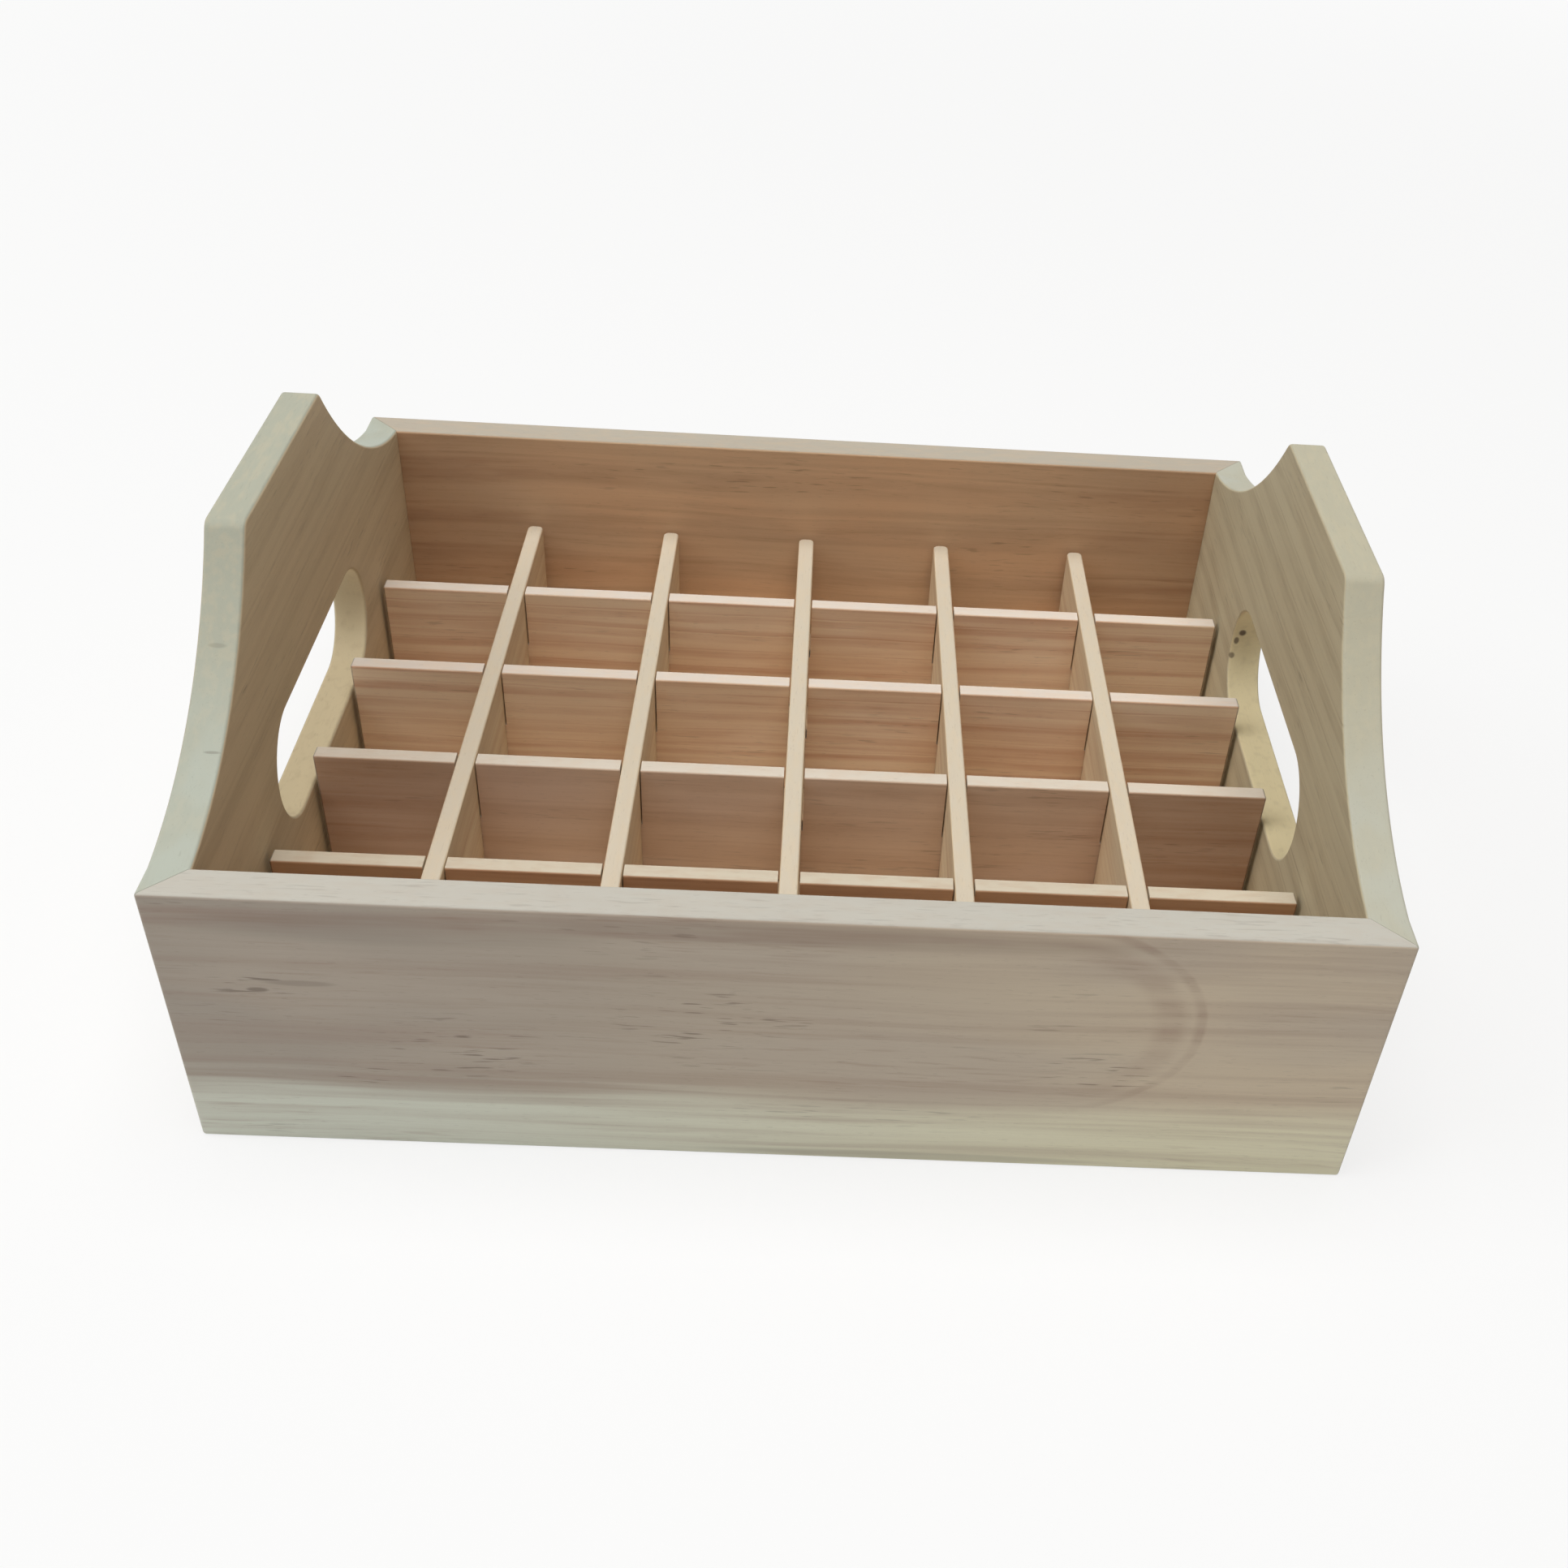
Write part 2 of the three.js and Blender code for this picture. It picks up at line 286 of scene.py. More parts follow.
def finished_piece(name, mesh, body, material):
    """A piece with smooth rounds and crisp edges, standing for the node of the same name."""
    bmesh.ops.recalc_face_normals(mesh, faces=mesh.faces[:])
    for face in mesh.faces:
        face.smooth = True
    for edge in mesh.edges:
        edge.smooth = edge.calc_face_angle(0.0) < SHARP_ANGLE
    data = bpy.data.meshes.new(name + "_wood")
    mesh.to_mesh(data)
    mesh.free()
    data.materials.append(material)
    piece = bpy.data.objects.new(name + "_wood", data)
    bpy.context.scene.collection.objects.link(piece)
    shading = piece.modifiers.new("flat faces stay flat", "WEIGHTED_NORMAL")
    shading.keep_sharp = True
    shading.weight = 100
    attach(piece, body)
    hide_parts(name)
    return piece


def board(name, half_outline, length, turn_degrees, outer_face, material, brad_spots=()):
    """One of the four boards: outline, rounded edges, brad holes, groove and mitres, put in its place."""
    mesh = bmesh.new()
    half_outline(mesh)
    mirror_whole(mesh)
    thicken(mesh, WALL)
    top_corners = [e for e in mesh.edges if all(at_top_corner(v.co) for v in e.verts)]
    if top_corners:
        round_edges(mesh, top_corners, CORNER_ROUND, CORNER_STEPS)
    round_edges(mesh, sharp_edges(mesh), EDGE_ROUND, EDGE_STEPS)
    if brad_spots:
        drill_brad_holes(mesh, brad_spots)
    cut_groove(mesh)
    mitre_ends(mesh, length)
    place = Matrix.Translation(outer_face) @ Matrix.Rotation(math.radians(turn_degrees), 4, "Z")
    bmesh.ops.transform(mesh, matrix=place, verts=mesh.verts[:])
    return finished_piece(name, mesh, "case", material)


def slat(name, length, crossings, pitch, notches_up, turn_degrees, end_round, body, material):
    """A divider: a whole spine, teeth between the notches, rounded long edges."""
    low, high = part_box(name)
    notch_half = SLAT_THICKNESS / 2 + NOTCH_PLAY
    stops = [-length / 2]
    for crossing in range(crossings):
        centre = (crossing - (crossings - 1) / 2) * pitch
        stops += [centre - notch_half, centre + notch_half]
    stops.append(length / 2)
    back_edge = SLAT_HEIGHT if not notches_up else 0.0
    notch_floor = SLAT_HEIGHT / 2
    tooth_edge = SLAT_HEIGHT - back_edge

    mesh = bmesh.new()
    tip = mesh.verts.new((stops[0], 0.0, back_edge))
    for stop in stops[1:]:
        tip = bmesh.ops.extrude_vert_indiv(mesh, verts=[tip])["verts"][0]
        tip.co.x = stop
        tip.co.z = back_edge
    spine = bmesh.ops.extrude_edge_only(mesh, edges=mesh.edges[:])
    for vert in spine["geom"]:
        if isinstance(vert, bmesh.types.BMVert):
            vert.co.z = notch_floor
    inner_edges = [
        e for e in mesh.edges
        if all(abs(v.co.z - notch_floor) < TINY for v in e.verts)
    ]
    inner_edges.sort(key=lambda e: e.verts[0].co.x + e.verts[1].co.x)
    teeth = bmesh.ops.extrude_edge_only(mesh, edges=inner_edges[0::2])
    for vert in teeth["geom"]:
        if isinstance(vert, bmesh.types.BMVert):
            vert.co.z = tooth_edge
    bmesh.ops.recalc_face_normals(mesh, faces=mesh.faces[:])
    thicken(mesh, SLAT_THICKNESS)

    def at_end(edge):
        return all(abs(abs(v.co.x) - length / 2) < TINY for v in edge.verts)

    def level(edge):
        first, second = (v.co.z for v in edge.verts)
        return abs(first - second) < TINY and (first < TINY or first > SLAT_HEIGHT - TINY)

    def across(edge):
        return abs(edge.verts[0].co.x - edge.verts[1].co.x) < TINY

    corners = [e for e in sharp_edges(mesh) if at_end(e) and not level(e)]
    round_edges(mesh, corners, end_round, SLAT_END_STEPS)
    rims = [e for e in sharp_edges(mesh) if level(e) and (at_end(e) or not across(e))]
    round_edges(mesh, rims, SLAT_ROUND, SLAT_ROUND_STEPS)
    middle = (low + high) / 2
    inset = Matrix.Translation((0.0, -SLAT_THICKNESS / 2, 0.0))
    place = Matrix.Translation((middle.x, middle.y, low.z))
    turn = Matrix.Rotation(math.radians(turn_degrees), 4, "Z")
    bmesh.ops.transform(mesh, matrix=place @ turn @ inset, verts=mesh.verts[:])
    return finished_piece(name, mesh, body, material)


class Signal:
    """A socket of a material. Arithmetic adds Math nodes, and node() adds a node of any other kind."""

    def __init__(self, tree, socket=None):
        self.tree = tree
        self.socket = socket

    def node(self, kind, settings={}, sockets={}, output=0):
        made = self.tree.nodes.new("ShaderNode" + kind)
        for name, value in settings.items():
            setattr(made, name, value)
        for key, value in sockets.items():
            if isinstance(value, Signal):
                self.tree.links.new(value.socket, made.inputs[key])
            else:
                made.inputs[key].default_value = value
        return Signal(self.tree, made.outputs[output] if made.outputs else None)

    def sibling(self, output):
        return Signal(self.tree, self.socket.node.outputs[output])

    def math(self, operation, *terms):
        return self.node("Math", {"operation": operation}, dict(enumerate(terms)))

    def __add__(self, other):
        return self.math("ADD", self, other)

    __radd__ = __add__

    def __sub__(self, other):
        return self.math("SUBTRACT", self, other)

    def __rsub__(self, other):
        return self.math("SUBTRACT", other, self)

    def __mul__(self, other):
        return self.math("MULTIPLY", self, other)

    __rmul__ = __mul__

    def __truediv__(self, other):
        return self.math("DIVIDE", self, other)

    def __pow__(self, other):
        return self.math("POWER", self, other)


def rise(signal, low, high):
    """0 below low, 1 above high, smooth between; falls instead when high is the lower of the two."""
    return signal.node(
        "MapRange",
        {"interpolation_type": "SMOOTHSTEP"},
        {"Value": signal, "From Min": low, "From Max": high},
    )


def mixed(factor, first, second, blend="MIX"):
    return factor.node(
        "Mix", {"data_type": "RGBA", "blend_type": blend}, {0: factor, 6: first, 7: second}, output=2
    )


def tone(red, green, blue):
    """A colour as a paint card gives it, 0 to 255, as the linear colour that shaders take."""
    def linear(level):
        share = level / 255
        return share / 12.92 if share <= 0.04045 else ((share + 0.055) / 1.055) ** 2.4

    return (linear(red), linear(green), linear(blue), 1.0)


def seen_directly(start):
    """1 for what the camera sees, also in a mirror or through glass, and 0 for light on its way."""
    seen = start.node("LightPath", output="Is Camera Ray")
    mirrored = seen.sibling("Is Glossy Ray")
    through = seen.sibling("Is Transmission Ray")
    return start.math("MINIMUM", seen + mirrored + through, 1.0)


def new_material(name):
    material = bpy.data.materials.new(name)
    material.use_nodes = True
    material.node_tree.nodes.clear()
    return material, Signal(material.node_tree)


@dataclass(frozen=True)
class Tones:
    """The colours of one piece's wood. A far tone is the one at the right or rear end of the grain."""

    outer: tuple
    inner: tuple
    edge: tuple
    dark: tuple
    patch: tuple
    patch_inside: tuple = None
    outer_far: tuple = None
    sap: tuple = None
    sap_far: tuple = None
    slot: tuple = None
    cove: tuple = None
    # Also the colour of the painted shade line on the front and of the darkened slat ends.
    fleck_and_shade: tuple = tone(84, 66, 54)


@dataclass(frozen=True)
class Spot:
    """An oval place in the wood: its middle and half sizes along, up and in, and how strongly it shows."""

    middle: tuple
    half: tuple
    strength: float = 1.0


@dataclass(frozen=True)
class Grain:
    """How one piece's wood is figured, with painted shade at some pieces' ends: lengths in millimetres,
    strengths as shares of one.
    """

    seed: float
    pith_up: float = -120.0
    pith_depth: float = 30.0
    arch_from: float = 1000.0
    arch_share: float = 0.0
    ring_width: float = 8.0
    last_ring: float = 1000.0
    late_from: float = 0.4
    sway: float = 5.0
    rings: float = 0.3
    streaks: float = 0.3
    fibres: float = 0.15
    patches: float = 0.6
    dashes: float = 0.12
    flecks: float = 0.4
    edge_flecks: float = 0.05
    shaded_ends: float = 0.0
    sawn_end: float = 0.0
    fleck_spots: tuple = ()
    marks_and_shade: tuple = ()
    sap_below: float = -100.0


@dataclass(frozen=True)
class Lie:
    """How a piece lies: its axes along the grain, up and in, its outer face, the way in, and its foot."""

    axes: tuple
    face: float
    inward: int
    thickness: float
    foot: float


class Timber:
    """A point's place in its piece of wood, in millimetres: along the grain, up, and in from its face."""

    def __init__(self, start, lie, grain):
        split = start.node("SeparateXYZ", sockets={0: start.node("TexCoord", output="Object")})
        split_axes = (split, split.sibling(1), split.sibling(2))
        along, up, depth = (split_axes[axis] for axis in lie.axes)
        self.start = start
        self.seed = grain.seed
        self.thickness = lie.thickness / MM
        self.along = along / MM
        self.up = (up - lie.foot) / MM
        self.depth = (depth - lie.face) * (lie.inward / MM)
        self.line = self.up
        self.line = self.up + (self.field(85, 26) - 0.5) * grain.sway

    def field(self, length, width, detail=1.0):
        """Noise drawn out along the grain, in patches of about length by width."""
        sockets = {
            0: self.along / length + self.seed,
            1: self.line / width,
            2: self.depth / width + SEED_STEP * self.seed,
        }
        place = self.start.node("CombineXYZ", sockets=sockets)
        return self.start.node("TexNoise", {}, {"Vector": place, "Scale": 1.0, "Detail": detail})

    def inside(self, spot):
        """The spot's strength in its middle, 0 outside it."""
        places = (self.along, self.up, self.depth)
        reach = 0.0
        for place, middle, half in zip(places, spot.middle, spot.half):
            share = (place - middle) / half
            reach = share * share + reach
        return rise(reach, 1.0, 0.2) * spot.strength

    def narrow_face(self):
        """1 on the narrow faces of a board or slat, 0 on its two broad ones."""
        return rise(self.start.math("MINIMUM", self.depth, self.thickness - self.depth), 0.08, 0.3)

    def slot_wall(self):
        """1 about the hand slot of an end board, 0 by its outer edges."""
        aside = self.start.math("ABSOLUTE", self.along)
        above = self.start.math("ABSOLUTE", self.up - SLOT_CENTRE_HEIGHT / MM)
        half_length = SLOT_LENGTH / 2 / MM
        half_height = SLOT_HEIGHT / 2 / MM
        return rise(aside, half_length + 3, half_length + 1) * rise(above, half_height + 3, half_height + 1)


def growth_rings(timber, grain):
    """0 in the early wood of each ring, with a soft dark band and a thin line at its outer side."""
    start = timber.start
    across = timber.line - grain.pith_up
    inside = timber.depth + grain.pith_depth
    beyond = start.math("MAXIMUM", timber.along - grain.arch_from, 0.0) * grain.arch_share
    distance = (across * across + inside * inside + beyond * beyond) ** 0.5
    rings = (distance + (timber.field(24, 5) - 0.5) * 1.2) / grain.ring_width
    turn = start.math("FRACT", rings)
    count = start.math("FLOOR", rings)
    band = rise(turn, grain.late_from, grain.late_from + 0.12) * rise(turn, 0.9, 0.8)
    line = rise(turn, 0.9, 0.95) * rise(turn, 1.0, 0.97)
    uneven = rise(timber.field(16, 2.5), 0.3, 0.7) * 0.8 + 0.5
    strength = start.node("TexWhiteNoise", {"noise_dimensions": "1D"}, {"W": count + grain.seed})
    lower_arm = rise(across, -8.0, 8.0) + rise(timber.along, grain.arch_from + 4.0, grain.arch_from + 20.0)
    shown = start.math("LESS_THAN", count, grain.last_ring) * (strength * 0.4 + 0.6)
    shown = shown * start.math("MINIMUM", lower_arm, 1.0)
    return (band * 0.6 + line * 0.65) * uneven * shown


def wood(name, lie, tones, grain):
    """Pale wood, cut from a solid pattern: growth rings, streaks, fibres, pores and short dark flecks, and
    painted shade where a piece's grain asks for it.
    """
    material, start = new_material(name)
    timber = Timber(start, lie, grain)
    edge = timber.narrow_face()
    late = growth_rings(timber, grain)
    fibres = timber.field(20, 0.4, 3.0)
    streaks = rise(timber.field(110, 2.6, 2.0), 0.4, 0.75)
    patches = rise(timber.field(55, 20), 0.35, 0.65)
    clusters = rise(timber.field(45, 9), 0.52, 0.68) * 0.5 + late * 0.4
    clusters = clusters * (1 - edge) + edge * grain.edge_flecks
    for spot in grain.fleck_spots:
        clusters = start.math("MAXIMUM", clusters, timber.inside(spot))
    dashes = rise(timber.field(13, 0.8), 0.56, 0.74) * patches
    flecks = rise(timber.field(7, 0.55), 0.6, 0.72) * clusters
    pores = rise(timber.field(2.6, 0.26), 0.66, 0.74)
    far = rise(timber.along, -100.0, 100.0)

    outer = mixed(far, tones.outer, tones.outer_far or tones.outer)
    inside = rise(timber.depth, 0.4 * timber.thickness, 0.6 * timber.thickness)
    patch = mixed(inside, tones.patch, tones.patch_inside or tones.patch)
    plain = mixed(inside, outer, tones.inner)
    plain = mixed(patches * grain.patches, plain, patch)
    if tones.sap:
        brim = timber.line + streaks * 3.0 + patches * 3.0
        sap = rise(brim, grain.sap_below + 7.0, grain.sap_below - 4.0)
        plain = mixed(sap * 0.9, plain, mixed(far, tones.sap, tones.sap_far))
    mottle = rise(timber.field(5, 1.6, 2.0), 0.4, 0.7) * 0.2
    narrow = mixed(mottle, tones.edge, tones.patch)
    if tones.cove:
        weathered = rise(timber.field(14, 7), 0.35, 0.65) * 0.5 + 0.5
        low_cove = rise(start.math("ABSOLUTE", timber.along), *COVE_FADE)
        narrow = mixed(low_cove * weathered, narrow, tones.cove)
    plain = mixed(edge, plain, narrow)
    if tones.slot:
        sawn = mixed(rise(timber.field(3.0, 2.0), 0.5, 0.75) * 0.15, tones.slot, tones.dark)
        plain = mixed(edge * timber.slot_wall(), plain, sawn)
    # Painted shade: darker towards both ends of a piece, as if shaded by the end boards in the box's
    # corners.
    ends = rise(start.math("ABSOLUTE", timber.along), 45.0, 105.0)
    darker = late * grain.rings + streaks * grain.streaks + fibres * grain.fibres
    darker = darker + dashes * grain.dashes + ends * grain.shaded_ends
    figured = mixed(darker * (1 - edge * 0.85), plain, tones.dark)
    specks_and_shade = pores * 0.12 + flecks * grain.flecks
    # Marks of the wood, and on the front board a line of painted shade along the bottom edge.
    for dark_spot in grain.marks_and_shade:
        specks_and_shade = start.math("MAXIMUM", specks_and_shade, timber.inside(dark_spot))
    # A slat's sawn ends darken: end grain, and painted shade of the narrow gap between the slat's end and
    # the end board.
    if grain.sawn_end:
        aside = start.math("ABSOLUTE", timber.along)
        end_grain_and_shade = rise(aside, grain.sawn_end - END_GRAIN_AND_SHADE_IN, grain.sawn_end - END_GRAIN_AND_SHADE_FULL)
        specks_and_shade = start.math("MAXIMUM", specks_and_shade, end_grain_and_shade * END_GRAIN_AND_SHADE_STRENGTH)
    specked_and_shaded = mixed(specks_and_shade, figured, tones.fleck_and_shade)

    height = fibres * 0.4 + streaks * 0.2 - flecks * 0.8 - pores * 0.3
    bump = start.node("Bump", sockets={"Strength": 0.2, "Distance": 0.1 * MM, "Height": height})
    shader = start.node(
        "BsdfPrincipled",
        sockets={
            "Base Color": specked_and_shaded,
            "Roughness": fibres * 0.16 + 0.6,
            "Specular IOR Level": 0.3,
            "Normal": bump,
        },
    )
    start.node("OutputMaterial", sockets={"Surface": shader})
    return material


def brad_steel():
    """Bright drawn steel, slightly dulled."""
    material, start = new_material("brad_steel")
    place = start.node("TexCoord", output="Object")
    wear = start.node("TexNoise", {}, {"Vector": place, "Scale": 1800.0, "Detail": 2.0})
    colour = mixed(rise(wear, 0.4, 0.7), tone(178, 176, 172), tone(120, 117, 112))
    shader = start.node(
        "BsdfPrincipled",
        sockets={"Base Color": colour, "Metallic": 1.0, "Roughness": wear * 0.3 + 0.25},
    )
    start.node("OutputMaterial", sockets={"Surface": shader})
    return material


# The four boards' wood
front_tones = Tones(
    outer=tone(176, 166, 154), outer_far=tone(212, 196, 172), inner=tone(220, 184, 147),
    edge=tone(197, 193, 183), dark=tone(150, 120, 104), patch=tone(192, 180, 165),
    sap=tone(227, 231, 217), sap_far=tone(239, 234, 205), patch_inside=tone(214, 182, 148),
)
back_tones = Tones(
    outer=tone(205, 187, 162), inner=tone(229, 191, 153), edge=tone(186, 177, 162),
    dark=tone(162, 122, 94), patch=tone(212, 185, 153),
)
left_tones = Tones(
    outer=tone(196, 182, 163), inner=tone(219, 200, 167), edge=tone(175, 176, 160),
    dark=tone(164, 140, 108), patch=tone(212, 196, 164), slot=tone(211, 194, 159),
    cove=tone(183, 188, 176),
)
right_tones = Tones(
    outer=tone(196, 182, 163), inner=tone(213, 203, 173), edge=tone(187, 182, 161),
    dark=tone(162, 144, 114), patch=tone(206, 194, 164), slot=tone(222, 207, 167),
    cove=tone(190, 190, 176),
)
base_tones = Tones(
    outer=tone(206, 184, 156), inner=tone(219, 198, 168), edge=tone(206, 184, 156),
    dark=tone(166, 128, 98), patch=tone(214, 188, 154),
)
front_grain = Grain(
    seed=1.0, pith_up=40.0, pith_depth=0.0, arch_from=50.0, arch_share=0.8, ring_width=24.4,
    last_ring=1.0, late_from=0.62, sway=4.0, rings=0.5, streaks=0.25, fibres=0.15, dashes=0.2,
    flecks=0.5, edge_flecks=0.3, sap_below=15.5,
    fleck_spots=(
        Spot((-97.0, 42.0, 0.0), (12.0, 3.5, 4.0)),
        Spot((-61.0, 28.0, 0.0), (19.0, 10.0, 4.0)),
        Spot((-78.0, 19.0, 0.0), (9.0, 3.0, 4.0)),
        Spot((-15.0, 37.5, 0.0), (20.0, 10.0, 4.0)),
        Spot((62.0, 27.0, 0.0), (14.0, 7.0, 4.0)),
    ),
    marks_and_shade=(
        # The first mark is painted shade: a thin dark line along the bottom edge.
        Spot((25.0, 1.6, 0.0), (48.0, 1.3, 2.0), 0.22),
        Spot((-70.0, 57.0, 0.0), (48.0, 4.5, 2.0), 0.12),
        Spot((5.0, 59.5, 0.0), (80.0, 3.0, 2.0), 0.14),
        Spot((-89.0, 43.0, 0.0), (8.0, 0.9, 2.0), 0.25),
        Spot((-97.0, 41.0, 0.0), (2.5, 0.7, 2.0), 0.5),
    ),
)
# The back board darkens towards its ends: painted shade in the box's corners.
back_grain = Grain(seed=2.0, ring_width=13.0, rings=0.25, streaks=0.2, shaded_ends=0.33)
left_grain = Grain(
    seed=3.0, ring_width=11.0, rings=0.25, sway=3.0, streaks=0.15,
    marks_and_shade=(
        Spot((-46.0, 82.3, 4.0), (0.6, 0.7, 2.2), 0.22),
        Spot((-64.6, 70.5, 6.0), (0.4, 0.4, 2.0), 0.35),
    ),
)
right_grain = Grain(
    seed=4.0, ring_width=7.5, rings=0.42, sway=3.0, streaks=0.15,
    marks_and_shade=(
        Spot((39.8, 44.6, 5.6), (1.5, 1.1, 1.1), 0.9),
        Spot((39.9, 42.3, 6.7), (1.5, 1.2, 0.8), 0.8),
        Spot((39.2, 38.5, 7.3), (1.2, 0.9, 0.9), 0.7),
    ),
)
base_grain = Grain(seed=5.0, pith_depth=0.0, ring_width=14.0, rings=0.2, streaks=0.25)

LENGTHWISE = (0, 2, 1)
FRONT_TO_BACK = (1, 2, 0)
LYING_FLAT = (0, 1, 2)
front_lie = Lie(LENGTHWISE, face=-CASE_DEPTH / 2, inward=1, thickness=WALL, foot=0.0)
back_lie = Lie(LENGTHWISE, face=CASE_DEPTH / 2, inward=-1, thickness=WALL, foot=0.0)
left_lie = Lie(FRONT_TO_BACK, face=-CASE_LENGTH / 2, inward=1, thickness=WALL, foot=0.0)
right_lie = Lie(FRONT_TO_BACK, face=CASE_LENGTH / 2, inward=-1, thickness=WALL, foot=0.0)
base_lie = Lie(
    LYING_FLAT, face=base_low.z, inward=1, thickness=base_high.z - base_low.z, foot=base_low.y
)
front_wood = wood("front_board_wood", front_lie, front_tones, front_grain)
back_wood = wood("back_board_wood", back_lie, back_tones, back_grain)
left_wood = wood("left_end_wood", left_lie, left_tones, left_grain)
right_wood = wood("right_end_wood", right_lie, right_tones, right_grain)
base_wood = wood("base_sheet_wood", base_lie, base_tones, base_grain)

# Where the brad heads show, on an end board as it lies flat: along it from its middle, and up.
brad_spots = []
for place in ("front_right_brad_1", "front_right_brad_2", "back_right_brad_1", "back_right_brad_2"):
    low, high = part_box(place)
    brad_spots.append(((low.y + high.y) / 2, (low.z + high.z) / 2))

board("front_panel", rail_half_outline, CASE_LENGTH, 0, (0.0, -CASE_DEPTH / 2, 0.0), front_wood)
board("back_panel", rail_half_outline, CASE_LENGTH, 180, (0.0, CASE_DEPTH / 2, 0.0), back_wood)
left_face = (-CASE_LENGTH / 2, 0.0, 0.0)
right_face = (CASE_LENGTH / 2, 0.0, 0.0)
board("left_end_panel", end_half_outline, CASE_DEPTH, -90, left_face, left_wood, brad_spots)
board("right_end_panel", end_half_outline, CASE_DEPTH, 90, right_face, right_wood, brad_spots)

# The dividers' wood, a little redder than the boards; the front divider's front face carries painted shade
red_slat = Tones(
    outer=tone(245, 223, 195), inner=tone(238, 212, 181), edge=tone(226, 215, 203),
    dark=tone(196, 138, 106), patch=tone(236, 206, 172),
)
brown_slat = Tones(
    outer=tone(224, 200, 181), inner=tone(230, 206, 178), edge=tone(219, 208, 193),
    dark=tone(166, 126, 98), patch=tone(216, 188, 160),
)
# Painted shade: the front divider's face toward the front board is darker, for the shade the front board
# casts on it.
shaded_front_slat = Tones(
    outer=tone(196, 156, 122), inner=tone(230, 202, 170), edge=tone(211, 200, 180),
    dark=tone(160, 114, 84), patch=tone(190, 152, 118),
)
cross_slat = Tones(
    outer=tone(227, 211, 180), inner=tone(227, 211, 180), edge=tone(212, 200, 180),
    dark=tone(182, 138, 104), patch=tone(222, 200, 166),
)
long_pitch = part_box("long_divider_2")[0].y - slat_low.y
cross_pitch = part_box("cross_divider_2")[0].x - cross_low.x
sawn_end = LONG_SLAT_LENGTH / 2 / MM
for number in range(1, LONG_SLATS + 1):
    name = f"long_divider_{number}"
    low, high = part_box(name)
    lie = Lie(LENGTHWISE, face=low.y, inward=1, thickness=SLAT_THICKNESS, foot=low.z)
    tones = (shaded_front_slat, brown_slat, red_slat, red_slat)[number - 1]
    if tones is brown_slat:
        # This divider darkens towards its ends: painted shade from the end boards.
        grain = Grain(
            seed=12.0, ring_width=9.0, rings=0.2, streaks=0.15, sway=2.0, shaded_ends=0.5, sawn_end=sawn_end
        )
    else:
        grain = Grain(
            seed=10.0 + number, ring_width=5.0, rings=0.4, streaks=0.4, sway=2.0, sawn_end=sawn_end
        )
    slat_wood = wood(name + "_wood", lie, tones, grain)
    body = "divider_grid"
    slat(name, LONG_SLAT_LENGTH, CROSS_SLATS, cross_pitch, True, 0, SLAT_ROUND, body, slat_wood)
for number in range(1, CROSS_SLATS + 1):
    name = f"cross_divider_{number}"
    low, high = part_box(name)
    lie = Lie(FRONT_TO_BACK, face=low.x, inward=1, thickness=SLAT_THICKNESS, foot=low.z)
    grain = Grain(seed=20.0 + number, ring_width=5.0, rings=0.25, streaks=0.25, flecks=0.3, sway=2.0)
    slat_wood = wood(name + "_wood", lie, cross_slat, grain)
    body = f"loose_cross_divider_{number}"
    slat(name, CROSS_SLAT_LENGTH, LONG_SLATS, long_pitch, False, 90, SLAT_END_ROUND, body, slat_wood)

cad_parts["base_panel"].data.materials.clear()
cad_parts["base_panel"].data.materials.append(base_wood)
steel = brad_steel()
for name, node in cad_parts.items():
    if "brad" in name:
        node.data.materials.clear()
        node.data.materials.append(steel)


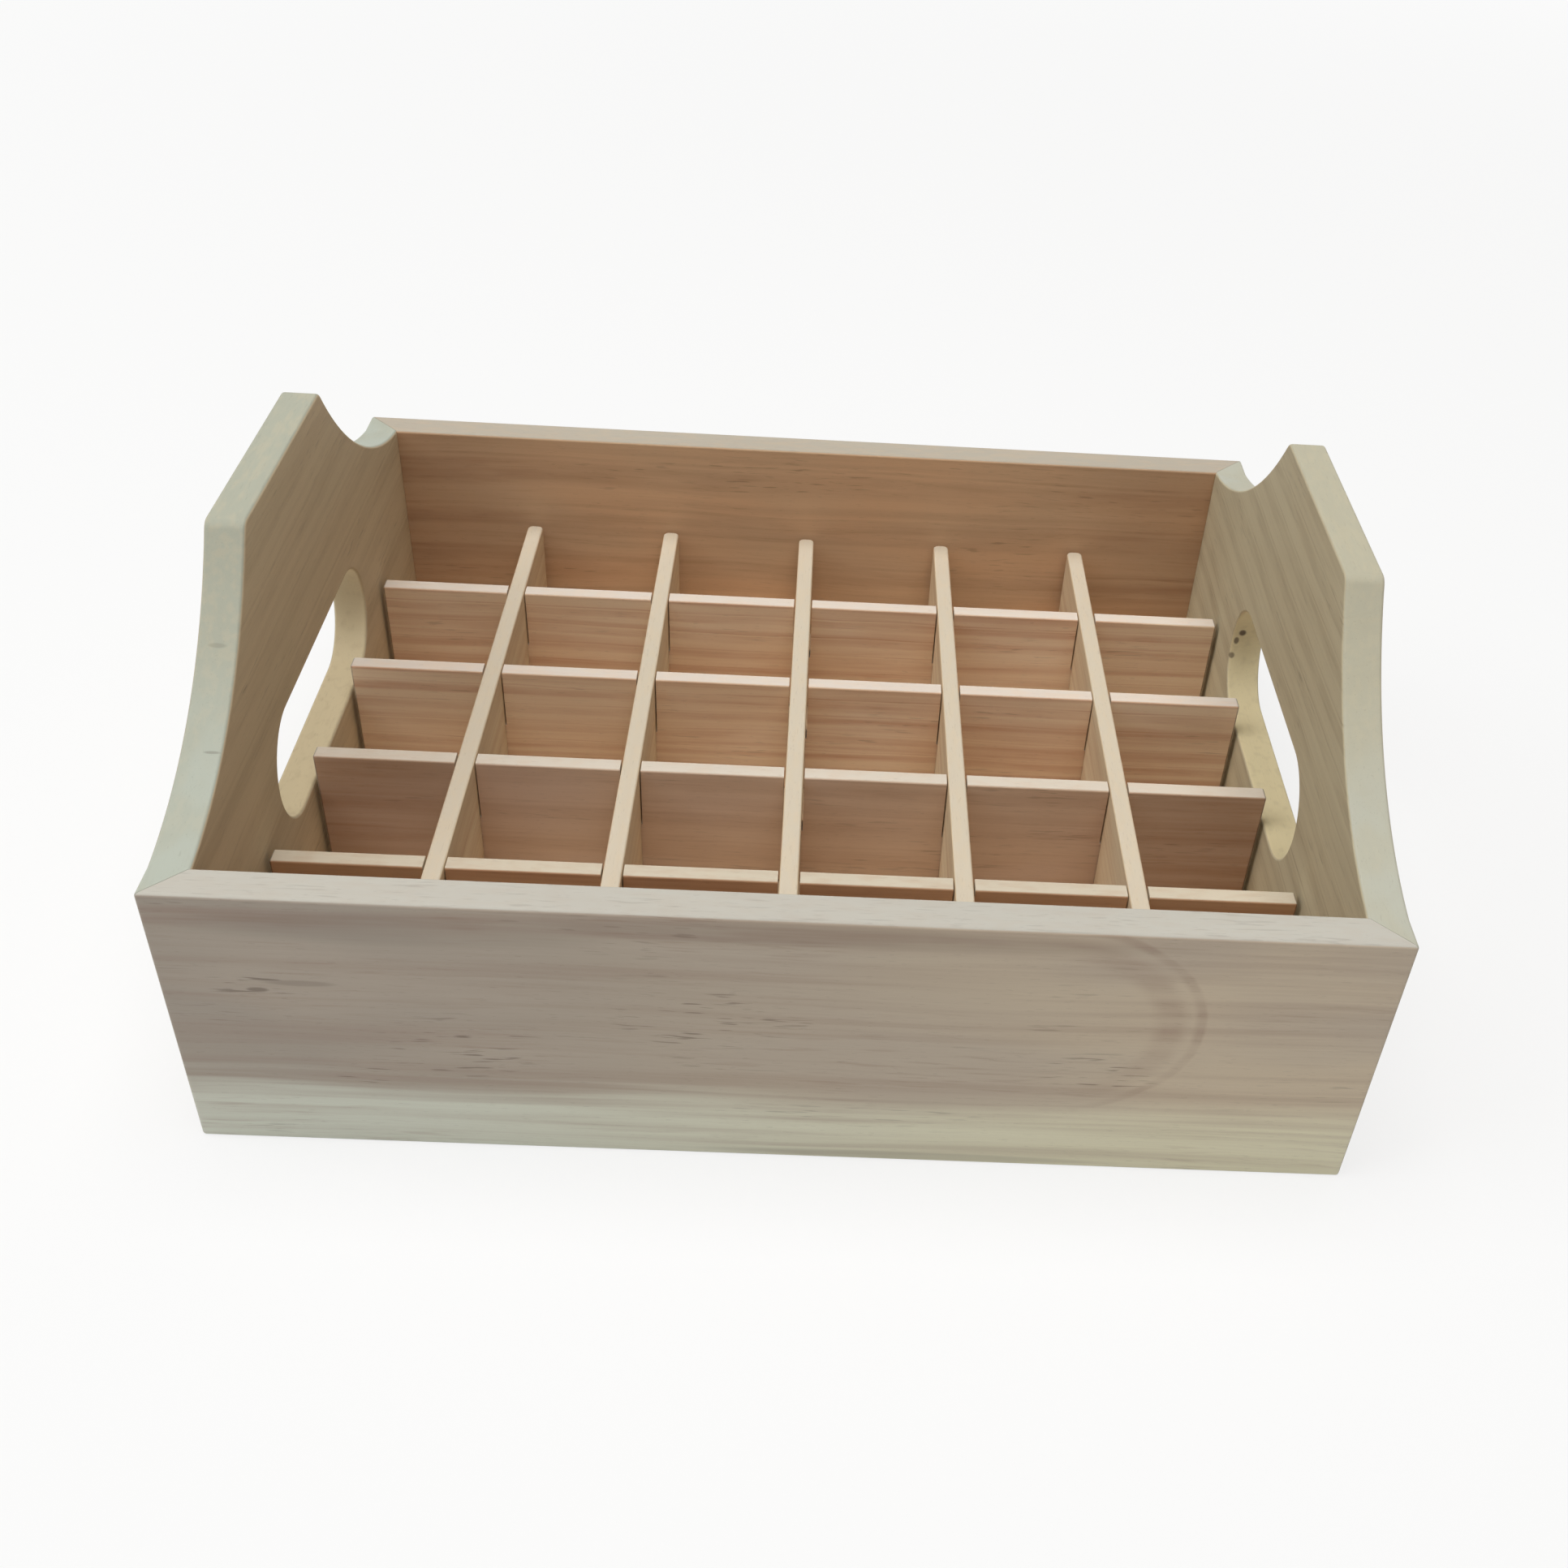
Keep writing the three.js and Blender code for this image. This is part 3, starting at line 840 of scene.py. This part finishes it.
def pale_floor():
    """A pale floor that looks white to the camera and keeps the case's soft shadow."""
    mesh = bmesh.new()
    bmesh.ops.create_grid(mesh, x_segments=1, y_segments=1, size=FLOOR_HALF_SIZE)
    data = bpy.data.meshes.new("floor")
    mesh.to_mesh(data)
    mesh.free()
    floor = bpy.data.objects.new("floor", data)
    bpy.context.scene.collection.objects.link(floor)
    material, start = new_material("floor_white")
    matt = start.node("BsdfDiffuse", sockets={"Color": (0.86, 0.86, 0.86, 1.0)})
    white = start.node("Emission", sockets={"Color": (1.0, 1.0, 1.0, 1.0), "Strength": 1.0})
    place = start.node("TexCoord", output="Object")
    away = place.node("VectorMath", {"operation": "LENGTH"}, {0: place}, output="Value")
    share = rise(away, *FLOOR_FADE) * (1 - FLOOR_WHITE) + FLOOR_WHITE
    shown = start.node("MixShader", sockets={0: seen_directly(start) * share, 1: matt, 2: white})
    start.node("OutputMaterial", sockets={"Surface": shown})
    data.materials.append(material)


def soft_lamp(name, place, target, size, power, colour):
    """A large square lamp that looks at a point."""
    data = bpy.data.lights.new(name, "AREA")
    data.shape = "SQUARE"
    data.size = size
    data.energy = power
    data.color = colour
    lamp = bpy.data.objects.new(name, data)
    lamp.location = place
    aim = Vector(target) - Vector(place)
    lamp.rotation_euler = aim.to_track_quat("-Z", "Y").to_euler()
    bpy.context.scene.collection.objects.link(lamp)


def studio():
    """Even light from all round, white where the camera sees it, and three soft lamps."""
    world = bpy.data.worlds.new("studio")
    world.use_nodes = True
    tree = world.node_tree
    tree.nodes.clear()
    start = Signal(tree)
    sky = start.node("Background", sockets={"Color": (1.0, 1.0, 1.0, 1.0), "Strength": SKY_STRENGTH})
    white = start.node("Background", sockets={"Color": (1.0, 1.0, 1.0, 1.0), "Strength": 1.0})
    shown = start.node("MixShader", sockets={0: seen_directly(start), 1: sky, 2: white})
    start.node("OutputWorld", sockets={"Surface": shown})
    bpy.context.scene.world = world
    middle = (0.0, 0.0, 0.05)
    soft_lamp("overhead", (0.0, 0.0, 2.4), middle, 1.8, 41.0, (1.0, 0.99, 0.96))
    soft_lamp("window", (-1.7, -0.3, 1.9), middle, 1.6, 22.0, (0.97, 1.0, 1.0))
    soft_lamp("front_fill", (0.3, -1.7, 1.9), middle, 1.6, 7.0, (1.0, 0.97, 0.92))


def photograph_camera():
    data = bpy.data.cameras.new("camera")
    data.sensor_width = CAMERA_SENSOR_MM
    data.lens = CAMERA_LENS_MM
    data.shift_x, data.shift_y = CAMERA_SHIFT
    data.clip_start = CAMERA_NEAREST
    camera = bpy.data.objects.new("camera", data)
    camera.location = CAMERA_PLACE
    camera.rotation_euler = Euler([math.radians(a) for a in CAMERA_TURN_DEGREES], "XYZ")
    bpy.context.scene.collection.objects.link(camera)
    bpy.context.scene.camera = camera


pale_floor()
studio()
photograph_camera()
bpy.context.scene.view_settings.view_transform = "Standard"

bpy.context.view_layer.update()
